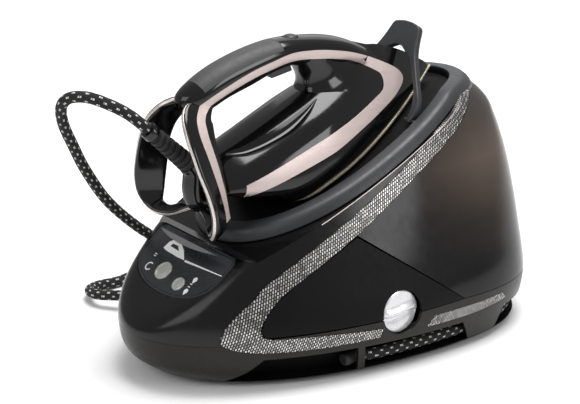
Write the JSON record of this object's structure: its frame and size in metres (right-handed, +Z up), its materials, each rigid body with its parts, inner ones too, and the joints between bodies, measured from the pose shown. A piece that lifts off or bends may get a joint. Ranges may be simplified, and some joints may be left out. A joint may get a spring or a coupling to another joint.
{
  "type": "steam generator iron",
  "caption": "Steam generator iron: a boiler base with a pull-out water tank and a sloping rest, on which the tethered iron is held by a hinged arch.",
  "frame": {"origin": "on the surface that the feet stand on, under the middle of the base", "axes": "+Z up, -Y to the control panel and the heel of the iron, +Y to the water tank and the nose of the iron, +X to the side with the scale collector's cover"},
  "size_m": [0.3723, 0.4633, 0.2992],
  "materials": {
    "gloss_black": "polished",
    "matte_black": "fine matte",
    "satin_grey": "satin",
    "brown_metallic": "metallic lacquer",
    "woven_silver": "fine printed basket weave",
    "smoked_tank": "smoked translucent",
    "rose_gold": "satin metallic",
    "chrome": "satin",
    "silver_button": "satin metallic",
    "soft_grip": "soft touch with small dimples",
    "rubber": "matte",
    "sole_gold": "pale gold coating",
    "aluminium": "cast",
    "circuit_board": "satin",
    "white_plastic": "satin",
    "textile": "braided, black with pale flecks"
  },
  "bodies": {
    "base": {"base_tray": "matte_black", "lower_skirt": "brown_metallic", "front_casing": "gloss_black", "side_panel_left": "matte_black", "side_panel_right": "matte_black", "pattern_strip_left": "woven_silver", "pattern_strip_right": "woven_silver", "pattern_band_left": "woven_silver", "pattern_band_right": "woven_silver", "iron_rest": "satin_grey", "rest_pad_left": "rubber", "rest_pad_right": "rubber", "arch_pin_left": "chrome", "arch_pin_right": "chrome", "control_panel": "gloss_black", "control_board": "circuit_board", "boiler": "aluminium", "boiler_heater": "aluminium", "solenoid_valve": "chrome", "steam_pipe": "chrome", "pump": "white_plastic", "feed_hose": "white_plastic", "tank_deck": "matte_black", "tank_socket": "white_plastic", "collector_housing": "white_plastic", "collector_seal": "rubber", "foot_front_left": "rubber", "foot_front_right": "rubber", "foot_rear_left": "rubber", "foot_rear_right": "rubber", "tray_screw_left": "chrome", "tray_screw_right": "chrome", "steam_cord_gland": "rubber", "power_cord_gland": "rubber", "steam_cord": "textile"},
    "iron": {"soleplate": "sole_gold", "steam_chamber": "aluminium", "iron_shell": "gloss_black", "body_trim_left": "rose_gold", "body_trim_right": "rose_gold", "iron_handle": "gloss_black", "handle_grip": "soft_grip", "heel_leg_left": "gloss_black", "heel_leg_right": "gloss_black", "cord_socket": "gloss_black"},
    "cord_swivel": {"cord_boot": "rubber", "cord_collar": "gloss_black"},
    "steam_trigger": {"steam_trigger": "rubber"},
    "boost_button": {"boost_button": "satin_grey"},
    "lock_arch": {"lock_arch": "satin_grey"},
    "tank": {"water_tank": "smoked_tank", "tank_valve": "white_plastic"},
    "tank_flap": {"tank_flap": "smoked_tank"},
    "power_button": {"power_button": "silver_button"},
    "eco_button": {"eco_button": "silver_button"},
    "collector_cover": {"collector_cover": "chrome"},
    "scale_collector": {"scale_collector": "aluminium"}
  },
  "joints": [
    {"name": "iron_lift", "type": "slide", "parent": "base", "child": "iron", "axis": [0, -0.963, 0.2695], "range_m": [0, 0.14], "deforming": ["steam_cord"]},
    {"name": "lock_arch_hinge", "type": "hinge", "parent": "base", "child": "lock_arch", "pos_m": [0, 0.07086, 0.20954], "axis": [-1, 0, 0], "range_deg": [0, 10]},
    {"name": "tank_slide", "type": "slide", "parent": "base", "child": "tank", "axis": [0, 1, 0], "range_m": [0, 0.1]},
    {"name": "tank_flap_hinge", "type": "hinge", "parent": "tank", "child": "tank_flap", "pos_m": [0, 0.20055, 0.181], "axis": [-1, 0, 0], "range_deg": [0, 80]},
    {"name": "power_button_press", "type": "slide", "parent": "base", "child": "power_button", "axis": [0, 0.6157, -0.788], "range_m": [0, 0.002], "stiffness_N_per_m": 500},
    {"name": "eco_button_press", "type": "slide", "parent": "base", "child": "eco_button", "axis": [0, 0.6157, -0.788], "range_m": [0, 0.002], "stiffness_N_per_m": 500},
    {"name": "collector_cover_turn", "type": "hinge", "parent": "base", "child": "collector_cover", "pos_m": [0.1213, -0.00125, 0.0571], "axis": [1, 0, 0], "range_deg": [0, 90]},
    {"name": "scale_collector_turn", "type": "hinge", "parent": "base", "child": "scale_collector", "pos_m": [0.052, -0.00125, 0.0571], "axis": [1, 0, 0], "range_deg": [0, 90]},
    {"name": "steam_trigger_squeeze", "type": "slide", "parent": "iron", "child": "steam_trigger", "axis": [0, -0.3827, 0.9239], "range_m": [0, 0.003], "stiffness_N_per_m": 600},
    {"name": "boost_button_press", "type": "slide", "parent": "iron", "child": "boost_button", "axis": [0, 0.0352, -0.9994], "range_m": [0, 0.0025], "stiffness_N_per_m": 600},
    {"name": "cord_boot_swivel", "type": "hinge", "parent": "iron", "child": "cord_swivel", "pos_m": [0, -0.14675, 0.1975], "axis": [0, -0.7161, 0.698], "range_deg": [-60, 60]}
  ]
}
